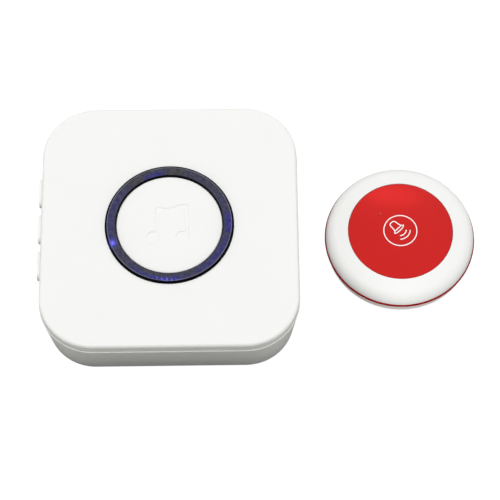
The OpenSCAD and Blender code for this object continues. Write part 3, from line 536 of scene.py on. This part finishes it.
def battery_wrap():
    """Plastic wrap round each battery cell, with a coloured band near the nub and steel at both ends."""
    material, tree, surface = empty_material("cell_wrap")
    place = add_node(tree, "ShaderNodeTexCoord").outputs["Object"]
    axes = add_node(tree, "ShaderNodeSeparateXYZ", {0: place})
    normal = add_node(tree, "ShaderNodeNewGeometry").outputs["Normal"]
    facing = add_node(tree, "ShaderNodeSeparateXYZ", {0: normal})
    end_face = math_node(tree, "ABSOLUTE", facing.outputs["X"], 0.0)
    steel = math_node(tree, "GREATER_THAN", end_face, CELL_END_FACING)
    low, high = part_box("battery_cells")
    from_first = math_node(tree, "SUBTRACT", axes.outputs["Y"], low.y)
    row = math_node(tree, "MULTIPLY", from_first, CELL_ROWS / (high.y - low.y))
    odd = math_node(tree, "MODULO", math_node(tree, "FLOOR", row, 0.0), 2.0)
    side = math_node(tree, "MULTIPLY_ADD", odd, -2.0, 1.0)
    along = math_node(tree, "MULTIPLY", axes.outputs["X"], side)
    band = math_node(tree, "GREATER_THAN", along, CELL_BAND_X)
    scuffed = math_node(tree, "MULTIPLY", noise(tree, place, CELL_WEAR_SCALE, 3.0), CELL_WEAR)
    wrap = mix_colour(tree, band, CELL_GREEN, CELL_CREAM)
    wrap = mix_colour(tree, scuffed, wrap, CELL_SCUFF)
    colour = mix_colour(tree, steel, wrap, CELL_STEEL)
    skin = add_node(tree, "ShaderNodeBsdfPrincipled",
                    {"Base Color": colour, "Metallic": steel, "Roughness": 0.28})
    tree.links.new(skin.outputs[0], surface)
    return material


def paper_cone():
    """Pressed paper of the loudspeaker's cone, with fine fibres."""
    material, tree, surface = empty_material("cone_paper")
    place = add_node(tree, "ShaderNodeTexCoord").outputs["Object"]
    fibre = noise(tree, place, FIBRE_SCALE, 4.0)
    colour = mix_colour(tree, fibre, CONE_BLACK, CONE_FIBRE)
    relief = add_node(tree, "ShaderNodeBump", {"Height": fibre, "Strength": 0.5, "Distance": FIBRE_DEPTH})
    skin = add_node(tree, "ShaderNodeBsdfPrincipled",
                    {"Base Color": colour, "Roughness": 0.85, "Normal": relief.outputs[0]})
    tree.links.new(skin.outputs[0], surface)
    return material


FINISHES = {
    "casing_white": plastic("casing_white", (0.9, 0.9, 0.885), (0.88, 0.88, 0.862), 0.5,
                            Specular_IOR_Level=0.2),
    "smoked_blue": smoked_ring(),
    "cap_red": plastic("cap_red", (0.56, 0.0235, 0.022), (0.525, 0.021, 0.0195), 0.16,
                       spread=0.03, bump=0.06, Specular_IOR_Level=0.5, Specular_Tint=(1, 0.01, 0.01, 1)),
    "lens_red": plastic("lens_red", (0.66, 0.03, 0.028), (0.64, 0.026, 0.024), 0.4,
                        Specular_IOR_Level=0.08),
    "seal_red": plastic("seal_red", (0.33, 0.006, 0.007), (0.29, 0.005, 0.006), 0.5,
                        Specular_IOR_Level=0.07),
    "board_green": printed_board(),
    "part_black": plastic("part_black", (0.02, 0.02, 0.022), (0.03, 0.03, 0.032), 0.5, bump=0.5),
    "lamp_white": plastic("lamp_white", (0.85, 0.85, 0.8), (0.78, 0.77, 0.6), 0.25, cloud=500.0),
    "bright_steel": metal("bright_steel", (0.72, 0.72, 0.73), (0.55, 0.55, 0.57), 0.28, (500, 9000, 9000)),
    "speaker_metal": metal("speaker_metal", (0.5, 0.5, 0.52), (0.4, 0.4, 0.42), 0.4, (4000, 4000, 9000)),
    "magnet_dark": plastic("magnet_dark", (0.05, 0.05, 0.055), (0.09, 0.09, 0.09), 0.55, bump=0.6),
    "cone_paper": paper_cone(),
    "lead_red": plastic("lead_red", (0.5, 0.02, 0.02), (0.42, 0.015, 0.015), 0.45),
    "coil_copper": metal("coil_copper", (0.78, 0.36, 0.16), (0.62, 0.26, 0.11), 0.25, (3000, 9000, 3000)),
    "cell_can": battery_wrap(),
}
# Painted light: a lighter, warmer copy of the white plastic for the call button's base, lifting its shade
BASE_PAINTED_LIGHT = plastic("base_painted_light", (0.93, 0.88, 0.85), (0.9, 0.85, 0.82), 0.5, Specular_IOR_Level=0.2)
COIN_STEEL = metal("coin_steel", (0.7, 0.7, 0.7), (0.6, 0.6, 0.61), 0.3, (900, 900, 9000))
PRINT_WHITE = plastic("print_white", (0.98, 0.97, 0.96), (0.94, 0.92, 0.91), 0.45,
                      grain=2500.0, cloud=900.0)

# Rounding of the edges that show, in millimetres
SOFT_EDGES = {
    "front_cover": 0.03, "light_ring": 0.05, "button_shell": 0.06, "button_base": 0.15, "call_cap": 0.06,
    "seal_ring": 0.05, "battery_door": 0.2, "upper_side_button": 0.4, "middle_side_button": 0.4,
    "lower_side_button": 0.4, "case_screws": 0.15, "base_screws": 0.1,
}


def smooth_group():
    """Geometry step that shades a mesh smooth."""
    group = bpy.data.node_groups.new("shade_smooth", "GeometryNodeTree")
    group.interface.new_socket("Geometry", in_out="INPUT", socket_type="NodeSocketGeometry")
    group.interface.new_socket("Geometry", in_out="OUTPUT", socket_type="NodeSocketGeometry")
    source = group.nodes.new("NodeGroupInput")
    result = group.nodes.new("NodeGroupOutput")
    smooth = group.nodes.new("GeometryNodeSetShadeSmooth")
    group.links.new(source.outputs[0], smooth.inputs["Geometry"])
    group.links.new(smooth.outputs[0], result.inputs[0])
    return group


def soften_edges():
    """Rounds the edges of the CAD nodes that show, by modifiers that leave their meshes alone."""
    shade_smooth = smooth_group()
    stack = nodes["rear_cover"].modifiers
    stack.new("join_faces", "WELD").merge_threshold = WELD_REACH
    stack.new("shade_smooth", "NODES").node_group = shade_smooth
    stack.new("hard_edges", "EDGE_SPLIT").split_angle = HARD_ANGLE
    for name, width in SOFT_EDGES.items():
        stack = nodes[name].modifiers
        stack.new("join_faces", "WELD").merge_threshold = WELD_REACH
        flat = stack.new("clear_flats", "DECIMATE")
        flat.decimate_type = "DISSOLVE"
        flat.angle_limit = FLAT_ANGLE
        bevel = stack.new("soft_edges", "BEVEL")
        bevel.width = width * MM
        bevel.segments = BEVEL_SEGMENTS
        bevel.limit_method = "ANGLE"
        bevel.angle_limit = BEVEL_ANGLE
        bevel.miter_outer = "MITER_ARC"
        stack.new("shade_smooth", "NODES").node_group = shade_smooth
        stack.new("even_normals", "WEIGHTED_NORMAL").weight = NORMAL_WEIGHT


def dress_nodes():
    """Gives every CAD node its finish."""
    for node in nodes.values():
        for slot in node.material_slots:
            slot.material = FINISHES[slot.material.name]
    # The call button's base gets the lighter copy: painted light on its shaded sides
    nodes["button_base"].material_slots[0].material = BASE_PAINTED_LIGHT
    nodes["coin_cell"].material_slots[0].material = COIN_STEEL


# Meshes

def mesh_piece(name, verts, faces, material, body):
    """New piece from points and faces, shaded smooth, that rides on a body."""
    mesh = bpy.data.meshes.new(name)
    mesh.from_pydata(verts, [], faces)
    mesh.validate()
    mesh.materials.append(material)
    mesh.shade_smooth()
    piece = link_object(name, mesh)
    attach(piece, body)
    return piece


def box_distance(x, y, middle, half):
    """Distance of a point from a rectangle, negative inside."""
    dx, dy = abs(x - middle[0]) - half[0], abs(y - middle[1]) - half[1]
    return math.hypot(max(dx, 0), max(dy, 0)) + min(max(dx, dy), 0)


def note_lift(x):
    """How far the note's wavy beam rises at a point between its stems."""
    left, right = NOTE_STEM_X
    share = min(max((x - left) / (right - left), 0), 1)
    return NOTE_BEAM_WAVE * (2 * share - math.sin(2 * math.pi * (share - NOTE_WAVE_START)))


def note_distance(x, y):
    """Distance of a point of the disc from the outline of a beamed pair of notes, negative inside."""
    left, right = NOTE_STEM_X
    beam_middle = ((left + right) / 2, NOTE_TOP_Y - NOTE_BEAM_H / 2 + note_lift(x))
    beam_half = ((right - left + NOTE_STEM_W) / 2 - NOTE_CORNER_R, NOTE_BEAM_H / 2 - NOTE_CORNER_R)
    nearest = box_distance(x, y, beam_middle, beam_half) - NOTE_CORNER_R
    for stem in NOTE_STEM_X:
        stem_top = NOTE_TOP_Y + note_lift(stem) - NOTE_CORNER_R
        stem_half = (stem_top - NOTE_HEAD_Y) / 2
        stem_middle = (stem, stem_top - stem_half)
        nearest = min(nearest, box_distance(x, y, stem_middle, (NOTE_STEM_W / 2, stem_half)))
        head_x = stem + NOTE_STEM_W / 2 - NOTE_HEAD[0]
        spread = math.hypot((x - head_x) / NOTE_HEAD[0], (y - NOTE_HEAD_Y) / NOTE_HEAD[1])
        nearest = min(nearest, (spread - 1) * NOTE_HEAD[1])
    return nearest


def note_dip(x, y):
    """How deep the note is pressed in at a point of the disc."""
    share = min(max(0.5 - note_distance(x, y) / NOTE_SLOPE, 0), 1)
    return NOTE_DEPTH * share * share * (3 - 2 * share)


def centre_disc():
    """White disc inside the ring, with a rounded rim and a musical note pressed into its face."""
    low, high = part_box("centre_disc")
    radius = (high.x - low.x) / 2
    flat_r = radius - DISC_EDGE_R
    profile = [(flat_r * k / DISC_RINGS, high.z) for k in range(1, DISC_RINGS + 1)]
    edge_turns = [math.pi / 2 * k / DISC_EDGE_STEPS for k in range(1, DISC_EDGE_STEPS + 1)]
    profile += [(flat_r + DISC_EDGE_R * math.sin(turn), high.z - DISC_EDGE_R * (1 - math.cos(turn)))
                for turn in edge_turns]
    profile += [(radius, low.z)]
    verts = [Vector((0, 0, high.z))]
    for r, z in profile:
        for k in range(DISC_SECTORS):
            turn = 2 * math.pi * k / DISC_SECTORS
            x, y = r * math.cos(turn), r * math.sin(turn)
            verts.append(Vector((x, y, z - note_dip(x, y))))
    faces = [(0, 1 + k, 1 + (k + 1) % DISC_SECTORS) for k in range(DISC_SECTORS)]
    for i in range(len(profile) - 1):
        for k in range(DISC_SECTORS):
            near, far = 1 + i * DISC_SECTORS, 1 + (i + 1) * DISC_SECTORS
            after = (k + 1) % DISC_SECTORS
            faces.append((near + k, far + k, far + after, near + after))
    last = 1 + (len(profile) - 1) * DISC_SECTORS
    faces.append(tuple(last + k for k in reversed(range(DISC_SECTORS))))
    piece = mesh_piece("note_disc", verts, faces, FINISHES["casing_white"], "casings")
    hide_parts("centre_disc")


def stroke(points, closed, surface_z):
    """Thin printed line along points of the cap, as verts and faces of a low ridge."""
    count = len(points)
    verts, faces = [], []
    for i, (x, y) in enumerate(points):
        if closed:
            before, after = points[i - 1], points[(i + 1) % count]
        else:
            before, after = points[max(i - 1, 0)], points[min(i + 1, count - 1)]
        along = Vector((after[0] - before[0], after[1] - before[1])).normalized()
        across = Vector((-along.y, along.x)) * PRINT_LINE / 2
        for side, lift in PRINT_SECTION:
            px, py = x + across.x * side, y + across.y * side
            verts.append((px, py, surface_z(px, py) + lift))
    ring = len(PRINT_SECTION)
    for i in range(count if closed else count - 1):
        here, there = i * ring, (i + 1) % count * ring
        for k in range(ring):
            after = (k + 1) % ring
            faces.append((here + k, there + k, there + after, here + after))
    if not closed:
        faces.append(tuple(range(ring)))
        faces.append(tuple(reversed(range((count - 1) * ring, count * ring))))
    return verts, faces


def arc(middle, radius, start, end, steps):
    """Points along an arc, angles in degrees."""
    turns = [math.radians(start + (end - start) * k / steps) for k in range(steps + 1)]
    return [(middle[0] + radius * math.cos(t), middle[1] + radius * math.sin(t)) for t in turns]


def bezier(a, b, c, d, steps):
    """Points along a cubic curve."""
    points = []
    for k in range(steps + 1):
        t = k / steps
        weights = ((1 - t) ** 3, 3 * t * (1 - t) ** 2, 3 * t * t * (1 - t), t ** 3)
        points.append(tuple(sum(w * p[i] for w, p in zip(weights, (a, b, c, d))) for i in (0, 1)))
    return points


def bell_lines():
    """Lines of a plain hand bell and two sound arcs, lip along X, crown towards +Y, in millimetres."""
    flare = bezier((2.3, 0.15), (1.9, 0.4), (1.5, 0.6), (1.4, 1.2), 6)
    side = bezier((1.4, 1.2), (1.3, 1.8), (1.22, 2.5), (1.2, 3.0), 4)
    top = bezier((1.2, 3.0), (1.05, 3.7), (0.75, 3.85), (0.0, 3.85), 8)
    half = flare + side[1:] + top[1:]
    lip = bezier((-2.3, 0.1), (-1.4, -0.6), (1.4, -0.6), (2.3, 0.1), 16)
    outline = half + [(-x, y) for x, y in reversed(half[:-1])] + lip[1:-1]
    band = [(-1.6, 0.65), (0, 0.65), (1.6, 0.65)]
    sound = [arc((0, 0), r, -90 - spread, -90 + spread, SOUND_STEPS) for r, spread in SOUND_ARCS]
    return [(outline, True), (band, False)] + [(line, False) for line in sound]


def cap_print():
    """White sign printed on the red cap: a ring, a bell and its sound."""
    low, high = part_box("call_cap")
    middle = ((low.x + high.x) / 2 + PRINT_PLACE[0], (low.y + high.y) / 2 + PRINT_PLACE[1])
    crown_z = high.z - CAP_CROWN_R

    def surface_z(x, y):
        across = Vector((x - (low.x + high.x) / 2, y - (low.y + high.y) / 2)).length
        return crown_z + math.sqrt(CAP_CROWN_R ** 2 - across ** 2)

    def on_cap(x, y):
        turned_x = x * math.cos(BELL_TURN) - y * math.sin(BELL_TURN)
        turned_y = x * math.sin(BELL_TURN) + y * math.cos(BELL_TURN)
        return (middle[0] + BELL_PLACE[0] + turned_x * MM, middle[1] + BELL_PLACE[1] + turned_y * MM)

    lines = [(arc(middle, PRINT_RING_R, 0, 360, PRINT_RING_STEPS)[:-1], True)]
    lines += [([on_cap(x, y) for x, y in line], closed) for line, closed in bell_lines()]
    verts, faces = [], []
    for points, closed in lines:
        new_verts, new_faces = stroke(points, closed, surface_z)
        faces += [tuple(len(verts) + i for i in face) for face in new_faces]
        verts += new_verts
    mesh_piece("cap_print", verts, faces, PRINT_WHITE, "red_cap")


place_camera()
light_studio()
lay_floor()
dress_nodes()
soften_edges()
centre_disc()
cap_print()
